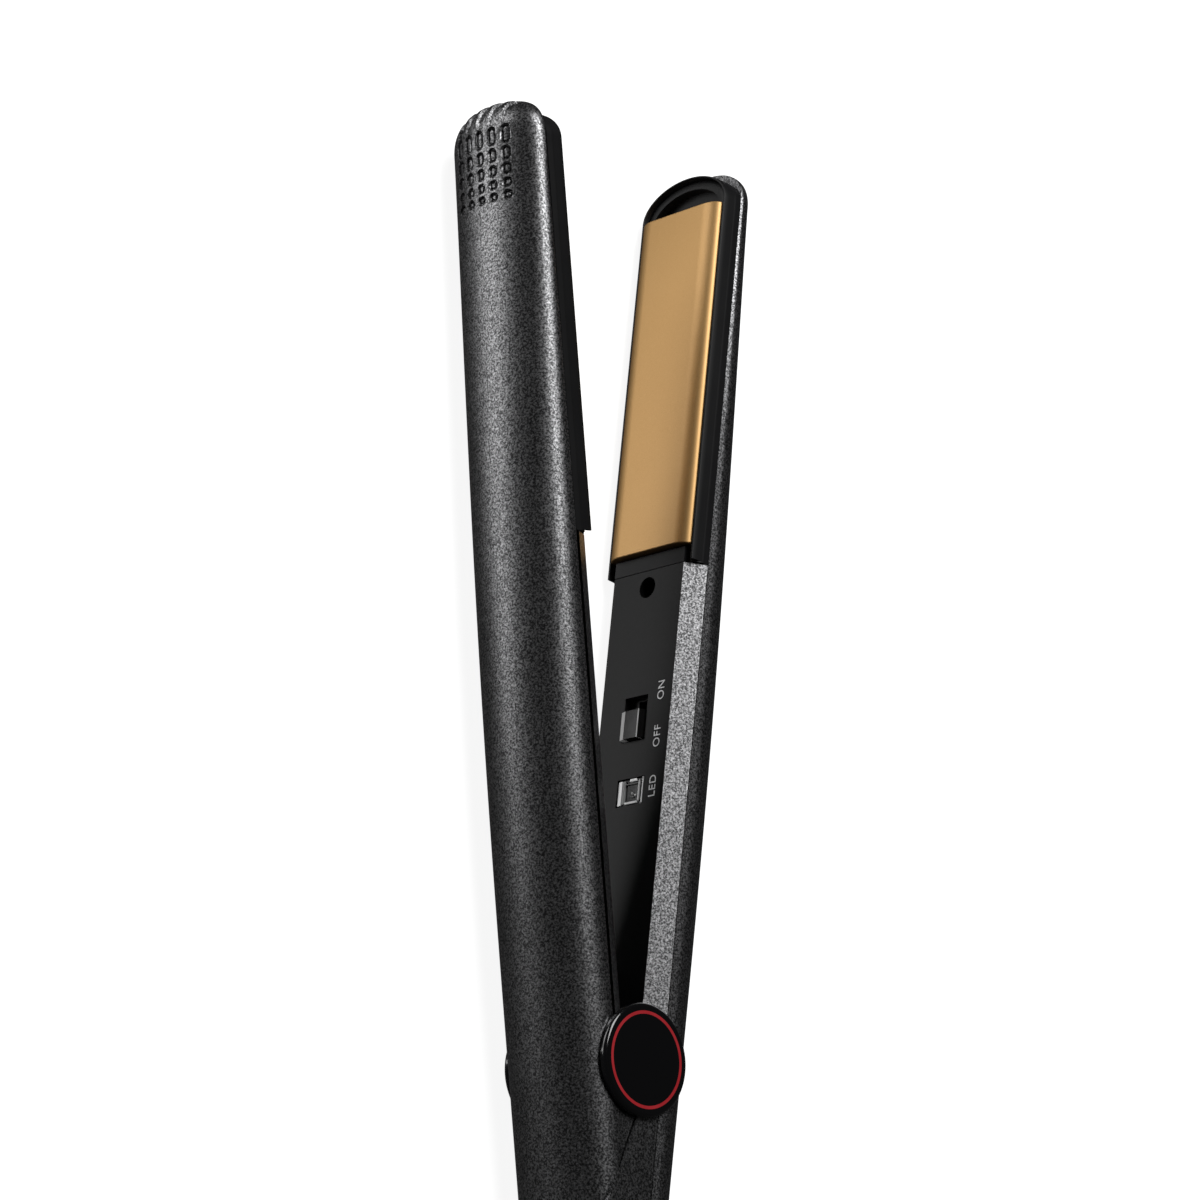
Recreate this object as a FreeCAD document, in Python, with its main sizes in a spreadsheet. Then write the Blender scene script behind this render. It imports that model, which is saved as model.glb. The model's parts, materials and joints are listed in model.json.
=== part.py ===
"""A two-arm hair straightener with floating heated plates, lying on its side, half open.

The hinge axis is +Z, the arms point along +X, and the origin is on the hinge axis at the
outer face of the lower hinge cover, the face that it rests on. Millimetres throughout.

Each arm is drawn once in its own frame: x runs from the hinge to the tip, y runs outward
from the plane in which the closed arms meet, and z runs across the arm from its middle.
The upper arm is that frame turned open by half the opening angle. The lower arm is the
same frame turned over and opened the other way.
"""
import FreeCAD, Part
import math
import os
import Sketcher
from FreeCAD import Placement, Rotation, Vector

doc = FreeCAD.newDocument("hair_straightener")

# ---------------------------------------------------------------- driving dimensions
SIZES = {
    # arms
    "open_half_angle": (6.7, "turn of each arm away from the middle plane, in degrees"),
    "arm_half_width": (14.2, "half the width of a handle across its flat sides"),
    "shell_wall": (2.0, "wall of the outer shells"),
    "inner_face": (2.0, "from the middle plane to the flat inner face of the handle"),
    "inner_half_width": (11.1, "half the width of that flat face"),
    "part_line": (6.6, "height at which the inner cover meets the outer shell"),
    "part_groove": (0.5, "shadow groove between cover and shell"),
    "cover_wall": (1.8, "wall of the inner covers"),
    "tongue_reach": (2.4, "how far the cover's tongue stands into the shell"),
    "tongue_wall": (1.2, "thickness of that tongue"),
    "slip": (0.15, "easy fit between pieces that are put together once"),
    # outer shell: half width, shoulder height and crown height at five places
    "nose_x": (205.5, "where the rounded nose starts"),
    "nose_length": (10.0, "reach of the nose past that place"),
    "nose_half_width": (14.0, "half width there"),
    "nose_shoulder": (7.6, "end of the flat side there"),
    "nose_crown": (14.6, "crown height there"),
    "fore_x": (150.0, "second section"),
    "fore_shoulder": (8.4, "end of the flat side there"),
    "fore_crown": (17.0, "crown height there"),
    "waist_x": (90.0, "third section"),
    "waist_shoulder": (9.2, "end of the flat side there"),
    "waist_crown": (19.0, "crown height there"),
    "grip_x": (30.0, "fourth section"),
    "grip_crown": (19.4, "crown height there"),
    "tail_x": (-34.0, "where the tail starts to taper"),
    "tail_crown": (18.4, "crown height there"),
    "tail_end": (-62.0, "rear end of the tail"),
    "tail_end_half_width": (9.4, "half width and upper height of the tail's end"),
    "tail_end_crown": (11.0, "crown height at the tail's end"),
    "tail_rounding": (5.0, "rounding of the tail's upper edges"),
    # vents in the nose
    "vent_pitch": (3.7, "distance between the rows of dimples across the arm"),
    "vent_width": (2.4, "width of a dimple"),
    "vent_depth": (0.8, "depth of a dimple"),
    "vent_gap": (0.5, "rib between dimples along the arm"),
    "vent_start_x": (208.6, "front end of the first dimple"),
    # seam between the upper arm's tail and the tail cover
    "seam_x": (-10.4, "where the seam leaves the inner face, in the upper arm's frame"),
    "seam_angle": (30.7, "its slope in the upper arm's frame, in degrees"),
    "seam_gap": (0.3, "gap left at the seam with the arms fully open"),
    # plates and what carries them
    "plate_x": (119.6, "hinge end of the plate"),
    "plate_length": (84.8, "length of the heated plate"),
    "plate_width": (25.4, "width of the heated plate"),
    "plate_thickness": (3.2, "thickness of the heated plate"),
    "plate_face": (0.05, "from the middle plane to the plate's face"),
    "plate_rounding": (2.0, "radius along the plate's long edges"),
    "plate_clearance": (0.3, "gap round the plate in its carrier"),
    "plate_travel": (0.8, "how far a plate is pressed into its arm"),
    "heater_thickness": (1.8, "thickness of the ceramic heater"),
    "heater_half_width": (7.0, "half its width"),
    "clamp_thickness": (1.1, "thickness of the heater clamp"),
    "carrier_half_width": (13.9, "half width of the plate carrier"),
    "carrier_rim": (3.1, "height at which the carrier's rim starts"),
    "carrier_rounding": (2.4, "rounding of the rim's outer edge"),
    "carrier_nose_inset": (1.6, "how far the carrier stays back from the nose"),
    "carrier_x": (115.6, "hinge end of the plate carrier"),
    "carrier_floor": (2.0, "thickness of the carrier's floor"),
    "cover_joint": (0.2, "gap between the carrier and the inner cover"),
    # hinge
    "axle_radius": (2.5, "radius of the hinge axle"),
    "axle_running": (0.05, "running clearance round the axle"),
    "bush_radius": (4.0, "outer radius of the bushes"),
    "knuckle_radius": (8.0, "radius of the knuckle and the ears"),
    "knuckle_clearance": (0.5, "gap round the knuckle and the ears"),
    "knuckle_low": (6.0, "from the middle of the arm to the knuckle's lower end"),
    "knuckle_high": (1.5, "from the middle of the arm to the knuckle's upper end"),
    "ear_inner": (6.8, "from the middle of the arm to the inner face of an ear"),
    "ear_outer": (11.5, "from the middle of the arm to the outer face of an ear"),
    "washer_thickness": (0.5, "thickness of the hinge washers"),
    "bridge_x": (22.0, "front end of the bridge that leads to the knuckle"),
    "bridge_height": (3.3, "how far the bridge stands above the inner face"),
    "badge_radius": (12.3, "radius of the round hinge covers"),
    "badge_thickness": (1.5, "thickness of the round hinge covers"),
    "badge_gap": (0.3, "gap between the arms' sides and a hinge cover"),
    "badge_rounding": (0.9, "rounding of a hinge cover's rim"),
    "ring_radius": (10.2, "middle radius of the coloured ring"),
    "ring_width": (0.7, "width of the coloured ring"),
    "ring_depth": (0.4, "depth of the coloured ring"),
    "hub_radius": (4.6, "radius of the hinge cover's hub"),
    "spring_radius": (3.5, "middle radius of the torsion spring"),
    "spring_wire": (0.45, "radius of its wire"),
    "spring_turns": (3.0, "number of its turns"),
    # switch and lamp on the lower arm
    "switch_x": (80.1, "middle of the switch opening"),
    "switch_length": (10.6, "length of the switch opening"),
    "switch_width": (7.2, "width of the switch opening"),
    "knob_length": (6.6, "length of the sliding knob"),
    "knob_proud": (1.1, "how far the knob stands above the inner face"),
    "knob_clearance": (0.3, "gap round the knob"),
    "lamp_x": (62.9, "middle of the lamp window"),
    "lamp_length": (6.4, "length of the lamp window"),
    "lamp_width": (8.4, "width of the lamp window"),
    "lamp_offset": (0.6, "how far the window sits towards the upper side"),
    # board
    "board_x": (34.0, "rear end of the circuit board"),
    "board_length": (66.0, "length of the circuit board"),
    "board_half_width": (9.5, "half width of the circuit board"),
    "board_height": (11.4, "from the middle plane to the board"),
    "board_thickness": (1.6, "thickness of the board"),
    # screws
    "screw_x": (111.4, "place of the case screw"),
    "screw_hole": (2.5, "radius of the hole that leads to the screw's head"),
    "screw_head": (2.2, "radius of the screw's head"),
    "screw_shank": (1.2, "radius of the screw's shank"),
    # cord swivel
    "swivel_neck": (5.6, "radius of the swivel's neck"),
    "swivel_flange": (7.0, "radius of the flange that holds the swivel in"),
    "swivel_reach": (7.0, "how far the swivel stands out of the tail"),
    "swivel_inside": (11.0, "how far it reaches into the tail"),
    "cord_radius": (3.6, "radius of the bore for the cord"),
    "running_fit": (0.08, "running clearance round the swivel's neck"),
}


class Size:
    """A length that knows its number and the sheet formula that gives it."""

    def __init__(self, number, formula):
        self.number = number
        self.formula = formula

    def __add__(self, other):
        return combine(self, "+", other, self.number + as_size(other).number)

    def __sub__(self, other):
        return combine(self, "-", other, self.number - as_size(other).number)

    def __mul__(self, other):
        return combine(self, "*", other, self.number * as_size(other).number)

    def __truediv__(self, other):
        return combine(self, "/", other, self.number / as_size(other).number)

    def __radd__(self, other):
        return as_size(other) + self

    def __rsub__(self, other):
        return as_size(other) - self

    def __rmul__(self, other):
        return as_size(other) * self

    def __neg__(self):
        return as_size(0) - self


def as_size(value):
    """A plain number becomes a Size whose formula is the number itself."""
    if isinstance(value, Size):
        return value
    return Size(float(value), repr(float(value)))


def combine(left, sign, right, number):
    """The Size whose formula joins two others with a sign."""
    return Size(number, f"({as_size(left).formula} {sign} {as_size(right).formula})")


def write_sheet():
    """Write every driving dimension to the sheet and return them as named Sizes."""
    sheet = doc.addObject("Spreadsheet::Sheet", "Sizes")
    for row, (name, (number, meaning)) in enumerate(SIZES.items(), start=1):
        sheet.set(f"A{row}", meaning)
        sheet.set(f"B{row}", str(number))
        sheet.setAlias(f"B{row}", name)
    doc.recompute()
    return {name: Size(float(sheet.get(name)), f"Sizes.{name}") for name in SIZES}


class Dimensions:
    """The sheet's dimensions as attributes, so that d.shell_wall is the shell's wall."""

    def __init__(self, sizes):
        self.__dict__.update(sizes)


d = Dimensions(write_sheet())


# ---------------------------------------------------------------- modelling helpers
def bind(thing, path, size):
    """Tie one property of a document object to the sheet."""
    thing.setExpression(path, as_size(size).formula)


def block(low, high):
    """A box from its lowest corner to its highest."""
    box = doc.addObject("Part::Box", "block")
    for axis, start in zip("xyz", low):
        bind(box, f"Placement.Base.{axis}", start)
    for side, start, end in zip(("Length", "Width", "Height"), low, high):
        bind(box, side, as_size(end) - start)
    return box


TURN_TO_AXIS = {
    "x": Rotation(Vector(0, 1, 0), 90),
    "y": Rotation(Vector(1, 0, 0), -90),
    "z": Rotation(),
}


def rod(axis, radius, low, high, across=(0, 0)):
    """A round bar along an axis; across gives its place on the two other axes."""
    bar = doc.addObject("Part::Cylinder", "rod")
    bar.Placement = Placement(Vector(), TURN_TO_AXIS[axis])
    bind(bar, "Radius", radius)
    bind(bar, "Height", as_size(high) - low)
    bind(bar, f"Placement.Base.{axis}", low)
    for other, place in zip("xyz".replace(axis, ""), across):
        bind(bar, f"Placement.Base.{other}", place)
    return bar


def cone(axis, start_radius, end_radius, low, high):
    """A round bar along an axis whose radius changes from its low to its high end."""
    bar = doc.addObject("Part::Cone", "cone")
    bar.Placement = Placement(Vector(), TURN_TO_AXIS[axis])
    bind(bar, "Radius1", start_radius)
    bind(bar, "Radius2", end_radius)
    bind(bar, "Height", as_size(high) - low)
    bind(bar, f"Placement.Base.{axis}", low)
    return bar


SKETCH_PLANES = {"x": "YZ_Plane", "y": "XZ_Plane", "z": "XY_Plane"}


def prism(axis, points, low, high):
    """A padded outline; its points are pairs of sizes on the two other axes in order."""
    body = doc.addObject("PartDesign::Body", "prism")
    sketch = body.newObject("Sketcher::SketchObject", "outline")
    plane = [f for f in body.Origin.OriginFeatures if f.Role == SKETCH_PLANES[axis]][0]
    sketch.AttachmentSupport = [(plane, "")]
    sketch.MapMode = "FlatFace"
    corners = [(as_size(across), as_size(up)) for across, up in points]
    count = len(corners)
    for index, (across, up) in enumerate(corners):
        next_across, next_up = corners[(index + 1) % count]
        start = Vector(across.number, up.number, 0)
        end = Vector(next_across.number, next_up.number, 0)
        sketch.addGeometry(Part.LineSegment(start, end))
    for index in range(count):
        follower = (index + 1) % count
        sketch.addConstraint(Sketcher.Constraint("Coincident", index, 2, follower, 1))
    for index, (across, up) in enumerate(corners):
        for kind, size in (("DistanceX", across), ("DistanceY", up)):
            number = sketch.addConstraint(Sketcher.Constraint(kind, -1, 1, index, 1, size.number))
            bind(sketch, f"Constraints[{number}]", size)
    backwards = axis == "y"   # the XZ plane faces -Y
    bind(sketch, "AttachmentOffset.Base.z", -as_size(low) if backwards else low)
    pad = body.newObject("PartDesign::Pad", "pad")
    pad.Profile = sketch
    pad.Reversed = backwards
    bind(pad, "Length", as_size(high) - low)
    return body


def mirrored_outline(points):
    """An outline (along, across) given for the positive side, closed over to the other."""
    return points + [(along, -as_size(across)) for along, across in reversed(points)]


def join(*things):
    """One solid from several."""
    fused = doc.addObject("Part::MultiFuse", "join")
    fused.Shapes = list(things)
    fused.Refine = True
    return fused


def carve(base, *tools):
    """A solid with others taken away from it."""
    cut = doc.addObject("Part::Cut", "carve")
    cut.Base = base
    cut.Tool = tools[0] if len(tools) == 1 else join(*tools)
    cut.Refine = True
    return cut


def overlap(*things):
    """What several solids have in common."""
    common = doc.addObject("Part::MultiCommon", "overlap")
    common.Shapes = list(things)
    common.Refine = True
    return common


def rounded(thing, radius, chosen):
    """Round the edges of a solid for which chosen(edge) is true."""
    doc.recompute()
    fillet = doc.addObject("Part::Fillet", "rounded")
    fillet.Base = thing
    edges = enumerate(thing.Shape.Edges, start=1)
    size = as_size(radius).number
    fillet.Edges = [(number, size, size) for number, edge in edges if chosen(edge)]
    return fillet


def runs_along(edge, axis, at=None, tolerance=0.01):
    """True for a straight edge along an axis, at a place if one is given."""
    first, last = edge.Vertexes[0].Point, edge.Vertexes[-1].Point
    span = last - first
    if span.Length < tolerance or abs(abs(getattr(span, axis)) - span.Length) > tolerance:
        return False
    return at is None or all(abs(getattr(first, k) - v) < tolerance for k, v in at.items())


def lies_at(edge, axis, place, tolerance=0.01):
    """True for an edge that lies in the plane where a coordinate has one value."""
    low, high = getattr(edge.BoundBox, axis + "Min"), getattr(edge.BoundBox, axis + "Max")
    return abs(low - place) < tolerance and abs(high - place) < tolerance


def elliptic_disc(x, half_length, half_width, low, high):
    """An elliptical plate across an arm: its middle, its two radii and its two heights."""
    disc = doc.addObject("Part::Cylinder", "disc")
    bind(disc, "Radius", half_width)
    bind(disc, "Height", as_size(high) - low)
    squeezed = doc.addObject("Part::Scale", "squeezed_disc")
    squeezed.Base = disc
    squeezed.Uniform = False
    bind(squeezed, "XScale", as_size(half_length) / half_width)
    squeezed.Placement = Placement(Vector(), TURN_TO_AXIS["y"])
    bind(squeezed, "Placement.Base.x", x)
    bind(squeezed, "Placement.Base.y", low)
    return squeezed


pieces = []


def piece(label, thing, place):
    """Name a finished sub-part and put it where it belongs."""
    if any("Placement" in path for path, _ in thing.ExpressionEngine):
        plain = thing     # its own place is tied to the sheet, so it is wrapped and then moved
        thing = doc.addObject("Part::Compound", "placed")
        thing.Links = [plain]
    thing.Label = label
    thing.Placement = place
    pieces.append(thing)


# ---------------------------------------------------------------- places of the arms
MID_HEIGHT = (d.arm_half_width + d.badge_gap + d.badge_thickness).number
LIFT = Placement(Vector(0, 0, MID_HEIGHT), Rotation())
OPENING = d.open_half_angle.number
UPPER = LIFT * Placement(Vector(), Rotation(Vector(0, 0, 1), OPENING))
LOWER = (LIFT * Placement(Vector(), Rotation(Vector(0, 0, 1), -OPENING))
         * Placement(Vector(), Rotation(Vector(1, 0, 0), 180)))

SHELL_BASE = d.part_line + d.part_groove
FAR = 120     # longer than any cut needs


# ---------------------------------------------------------------- outer shells
CROWN_POINTS = 13


def arch_points(x, half_width, shoulder, crown, count):
    """Points on the crown's half-ellipse, counted from its foot at positive z."""
    points = []
    for step in range(count):
        turn = math.pi * step / (CROWN_POINTS - 1)
        height = shoulder + (crown - shoulder) * math.sin(turn)
        points.append(Vector(x, height, half_width * math.cos(turn)))
    return points


def shell_section(x, half_width, base, shoulder, crown):
    """A closed section: a flat base, two flat sides and a half-ellipse for the crown."""
    arch = arch_points(x, half_width, shoulder, crown, CROWN_POINTS)
    crown_line = Part.BSplineCurve()
    upward = Vector(0, 1, 0)
    crown_line.interpolate(Points=arch, InitialTangent=upward, FinalTangent=-upward)
    right_foot = Vector(x, base, half_width)
    left_foot = Vector(x, base, -half_width)
    edges = [
        Part.makeLine(right_foot, arch[0]),
        crown_line.toShape(),
        Part.makeLine(arch[-1], left_foot),
        Part.makeLine(left_foot, right_foot),
    ]
    section = doc.addObject("Part::Feature", "section")
    section.Shape = Part.Wire(edges)
    return section


def shell_solid(inset, base, last_stations):
    """The full outer form of an arm, made smaller all round by inset."""
    front_stations = [
        (d.nose_x, d.nose_half_width, d.nose_shoulder, d.nose_crown),
        (d.fore_x, d.arm_half_width, d.fore_shoulder, d.fore_crown),
        (d.waist_x, d.arm_half_width, d.waist_shoulder, d.waist_crown),
        (d.grip_x, d.arm_half_width, d.waist_shoulder, d.grip_crown),
        (d.tail_x, d.arm_half_width, d.waist_shoulder, d.tail_crown),
    ]
    sections = []
    for x, half_width, shoulder, crown in front_stations + last_stations:
        numbers = (x.number, half_width.number - inset, base, shoulder.number,
                   crown.number - inset)
        sections.append(shell_section(*numbers))
    front = doc.addObject("Part::Loft", "arm_form")
    front.Sections = sections[:len(front_stations)]
    front.Solid = True
    forms = [front, nose_solid(inset, base)]
    if last_stations:
        rear = doc.addObject("Part::Loft", "tail_form")
        rear.Sections = sections[len(front_stations) - 1:]
        rear.Solid = True
        rear.Ruled = True
        forms.append(rear)
    return join(*forms)


def nose_solid(inset, base):
    """The rounded nose: the last section turned through half a circle and squeezed."""
    half_width = d.nose_half_width.number - inset
    crown = d.nose_crown.number - inset
    arch = arch_points(0, half_width, d.nose_shoulder.number, crown, CROWN_POINTS // 2 + 1)
    crown_line = Part.BSplineCurve()
    crown_line.interpolate(Points=arch, InitialTangent=Vector(0, 1, 0),
                           FinalTangent=Vector(0, 0, -1))
    foot, centre = Vector(0, base, half_width), Vector(0, base, 0)
    edges = [Part.makeLine(centre, foot), Part.makeLine(foot, arch[0]),
             crown_line.toShape(), Part.makeLine(arch[-1], centre)]
    section = doc.addObject("Part::Feature", "nose_section")
    section.Shape = Part.Face(Part.Wire(edges))
    turned = doc.addObject("Part::Revolution", "nose_turned")
    turned.Source = section
    turned.Axis = Vector(0, 1, 0)
    turned.Angle = 180
    squeezed = doc.addObject("Part::Scale", "nose")
    squeezed.Base = turned
    squeezed.Uniform = False
    bind(squeezed, "XScale", (d.nose_length - inset) / half_width)
    bind(squeezed, "Placement.Base.x", d.nose_x)
    return squeezed


VENT_LENGTHS = (4.5, 3.4, 2.9, 2.5, 2.1)     # the dimples get shorter towards the hinge
VENT_ROWS = (-2, -1, 0, 1, 2)


def vent_tools():
    """Five rows of dimples, each row running on over the nose as a groove."""
    tools = []
    half = d.vent_width / 2
    for row in VENT_ROWS:
        middle = row * d.vent_pitch
        front = d.vent_start_x
        for length in VENT_LENGTHS:
            cell = block((front - length, d.nose_shoulder, middle - half),
                         (front, d.grip_crown, middle + half))
            corner = min(length, d.vent_width.number) / 2.1
            tools.append(rounded(cell, corner, lambda edge: runs_along(edge, "y")))
            front = front - length - d.vent_gap
        groove_start = d.vent_start_x + d.vent_gap
        tools.append(block((groove_start, d.nose_shoulder, middle - half),
                           (groove_start + FAR, d.grip_crown, middle + half)))
    floor = shell_solid(d.vent_depth.number, SHELL_BASE.number, [])
    return carve(join(*tools), floor)


def seam_block(to_frame, above, gap):
    """All that lies on one side of the seam, drawn in the frame of either arm."""
    big = doc.addObject("Part::Box", "seam_side")
    big.Length = big.Width = big.Height = FAR
    start_y = -gap if above else -FAR
    corner = Placement(Vector(-FAR / 2, start_y, -FAR / 2), Rotation())
    slope = Rotation(Vector(0, 0, 1), -d.seam_angle.number)
    seam = Placement(Vector(d.seam_x.number, d.inner_face.number, 0), slope)
    big.Placement = to_frame * seam * corner
    return big


def screw_boss():
    """The post inside a shell that takes the case screw."""
    foot = d.part_line + d.tongue_reach + d.slip
    post = rod("y", d.screw_head + 1, foot, d.grip_crown, (d.screw_x, 0))
    inside = shell_solid(d.shell_wall.number / 2, SHELL_BASE.number, [])
    pilot = rod("y", d.screw_shank + 0.05, foot - 1, foot + 5, (d.screw_x, 0))
    return carve(overlap(post, inside), pilot)


def outer_shell(label, place, tail_stations, seam_frame=None):
    """An outer shell: the arm's form, hollowed, with its dimples and screw post."""
    base = SHELL_BASE.number
    form = shell_solid(0, base, tail_stations)
    inner_tail = [(x + d.shell_wall, w, s, c) for x, w, s, c in tail_stations]
    hollow = shell_solid(d.shell_wall.number, base - 1, inner_tail)
    pilot = rod("y", d.screw_shank + 0.05, base, d.part_line + d.tongue_reach + 5, (d.screw_x, 0))
    solids = [carve(form, hollow), screw_boss()]
    if seam_frame is not None:
        solids.append(tail_skirts())
    shell = carve(join(*solids), vent_tools(), pilot)
    if seam_frame is not None:
        shell = carve(shell, seam_block(seam_frame, above=False, gap=0))
    piece(label, shell, place)


def tail_skirts():
    """The flat sides of the upper arm that reach down to the seam behind the hinge."""
    start, end = d.tail_x - 4, rear_of_covers()
    outside, inside = d.arm_half_width, d.arm_half_width - d.shell_wall
    low, high = d.inner_face, SHELL_BASE + 1
    return join(block((start, low, inside), (end, high, outside)),
                block((start, low, -outside), (end, high, -inside)))


def rear_of_covers():
    """Where the slanted sides of both inner covers end, just behind the hinge."""
    return -d.knuckle_radius - 1.5


TAIL_STATIONS = [(d.tail_end, d.tail_end_half_width, SHELL_BASE + 0.4, d.tail_end_crown)]
CLOSING_REACH = 34     # length of the closing plate behind the start of the seam
UPPER_REAR = [(d.tail_x - 12, d.arm_half_width, d.waist_shoulder, d.tail_crown - 0.6)]


# ---------------------------------------------------------------- inner covers
def cover_channel(rear):
    """The channel of an inner cover: flat face, slanted sides and a tongue each side."""
    tongue_out = d.arm_half_width - d.shell_wall - d.slip
    tongue_top = d.part_line + d.tongue_reach
    outside = [
        (d.inner_face, d.inner_half_width),
        (d.part_line, d.arm_half_width),
        (d.part_line, tongue_out),
        (tongue_top, tongue_out),
        (tongue_top, tongue_out - d.tongue_wall),
        (d.part_line, tongue_out - d.tongue_wall),
        (d.inner_face + d.cover_wall, d.inner_half_width - d.cover_wall / 2),
    ]
    front = d.carrier_x - d.cover_joint
    return prism("x", mirrored_outline(outside), rear, front)


def screw_well():
    """The deep hole in a cover through which its screw is driven, with its floor."""
    floor_top = d.part_line + d.tongue_reach
    foot = d.inner_face + d.cover_wall / 2
    return rod("y", d.screw_hole + d.tongue_wall, foot, floor_top, (d.screw_x, 0))


def screw_well_bore():
    """The two steps of that hole."""
    floor_top = d.part_line + d.tongue_reach
    at = (d.screw_x, 0)
    wide = rod("y", d.screw_hole, d.inner_face - 1, floor_top - d.cover_wall, at)
    narrow = rod("y", d.screw_shank + 0.1, d.inner_face - 1, floor_top + 1, at)
    return join(wide, narrow)


def hub_hole():
    """Room for the hubs of both hinge covers in the sides of an arm."""
    return rod("z", d.hub_radius + d.knuckle_clearance, -d.arm_half_width - 1,
               d.arm_half_width + 1)


def upper_inner_cover():
    """The cover without a switch, with the two ears of the hinge and a closed tail."""
    channel = cover_channel(rear_of_covers() + d.cover_joint)
    closer = closing_plate()
    sides = seam_block(Placement(), above=False, gap=0)
    knuckle_room = rod("z", d.knuckle_radius + d.knuckle_clearance, -d.ear_inner, d.ear_inner)
    trimmed = carve(join(carve(channel, sides), closer), knuckle_room, hub_hole(),
                    screw_well_bore())
    parts = [trimmed, carve(screw_well(), screw_well_bore())]
    root = d.inner_face + d.cover_wall
    for low, high in ((-d.ear_outer, -d.ear_inner), (d.ear_inner, d.ear_outer)):
        disc = rod("z", d.knuckle_radius, low, high)
        neck = block((-d.knuckle_radius, 0, low), (d.knuckle_radius, root, high))
        parts.append(join(disc, neck))
    bush_seat = rod("z", d.bush_radius + 0.02, -FAR, FAR)
    piece("upper_inner_cover", carve(join(*parts), bush_seat), UPPER)


def closing_plate():
    """The slanted floor that closes the upper arm's tail along the seam."""
    half = d.arm_half_width - d.shell_wall - d.slip
    slope = Placement(Vector(), Rotation(Vector(0, 0, 1), -d.seam_angle.number))
    seam_start = Placement(Vector(d.seam_x.number, d.inner_face.number, 0), Rotation())
    plate = doc.addObject("Part::Box", "closing_plate")
    bind(plate, "Length", CLOSING_REACH + d.cover_wall)
    bind(plate, "Width", d.cover_wall)
    bind(plate, "Height", half * 2)
    plate.Placement = seam_start * slope * Placement(
        Vector(-CLOSING_REACH, 0, -half.number), Rotation())
    crown = shell_solid(d.shell_wall.number + d.slip.number, -FAR / 10, UPPER_REAR)
    above_face = block((-FAR, d.inner_face, -FAR), (0, FAR, FAR))
    return overlap(plate, crown, above_face)


def lower_inner_cover():
    """The cover with the switch opening, the lamp window and the hinge knuckle."""
    channel = cover_channel(rear_of_covers())
    reach = d.knuckle_radius + d.knuckle_clearance
    side_end = d.ear_outer + d.knuckle_clearance
    ear_room = rod("z", reach, -side_end, side_end)
    openings = [hub_hole(), screw_well_bore(), switch_opening(), lamp_window()]
    trimmed = carve(channel, ear_room, *openings)
    low, high = -d.knuckle_high, d.knuckle_low     # the arm is turned over
    root = d.inner_face + d.cover_wall
    knuckle = rod("z", d.knuckle_radius, low, high)
    neck = block((d.slip - reach, 0, low), (reach + 0.5, root, high))
    face = d.inner_face - d.bridge_height
    bridge = block((0, face, low), (d.bridge_x, root, high))
    axle_seat = rod("z", d.axle_radius + 0.01, -FAR, FAR)
    well = carve(screw_well(), screw_well_bore())
    whole = carve(join(trimmed, knuckle, neck, bridge, well), axle_seat)
    piece("lower_inner_cover", whole, LOWER)


def switch_opening():
    """The opening in which the knob slides."""
    half_length, half_width = d.switch_length / 2, d.switch_width / 2
    return block((d.switch_x - half_length, d.inner_face - 1, -half_width),
                 (d.switch_x + half_length, d.part_line, half_width))


def lamp_window():
    """The window in which the lens of the lamp sits."""
    half_length, half_width = d.lamp_length / 2, d.lamp_width / 2
    return block((d.lamp_x - half_length, d.inner_face - 1, -d.lamp_offset - half_width),
                 (d.lamp_x + half_length, d.part_line, half_width - d.lamp_offset))


# ---------------------------------------------------------------- tail cover
def tail_form(inset, gap):
    """The tail's full form above the parting line, smaller all round by inset."""
    front = rear_of_covers()
    side = block((d.tail_end + inset, -d.tail_end_half_width + inset, -FAR / 2),
                 (front - d.cover_joint, d.part_line + (1 if inset else 0), FAR / 2))
    plan = mirrored_outline([
        (d.tail_end + inset, d.tail_end_half_width - inset),
        (d.tail_x, d.arm_half_width - inset),
        (front, d.arm_half_width - inset),
    ])
    solid = overlap(side, prism("y", plan, -FAR / 2, FAR / 2))
    top = (inset - d.tail_end_half_width.number)
    radius = d.tail_rounding.number - inset

    def is_top_side(edge):
        across = abs(edge.BoundBox.ZMax + edge.BoundBox.ZMin) / 2
        return lies_at(edge, "Y", top) and across > radius

    solid = rounded(solid, radius, is_top_side)
    to_lower = LOWER.inverse() * UPPER
    return carve(solid, seam_block(to_lower, above=True, gap=gap))


def tail_cover():
    """The cover over the tail: it fills the wedge below the seam and takes the swivel."""
    gap, wall = d.seam_gap.number, d.shell_wall.number
    form = tail_form(0, gap)
    hollow = tail_form(wall, gap + wall)
    hole = rod("x", d.swivel_neck + d.running_fit, d.tail_end - 1, d.tail_end + wall + 1)
    room = rod("z", d.knuckle_radius + d.knuckle_clearance, -FAR, FAR)
    piece("tail_cover", carve(form, hollow, hole, room), LOWER)


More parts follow.
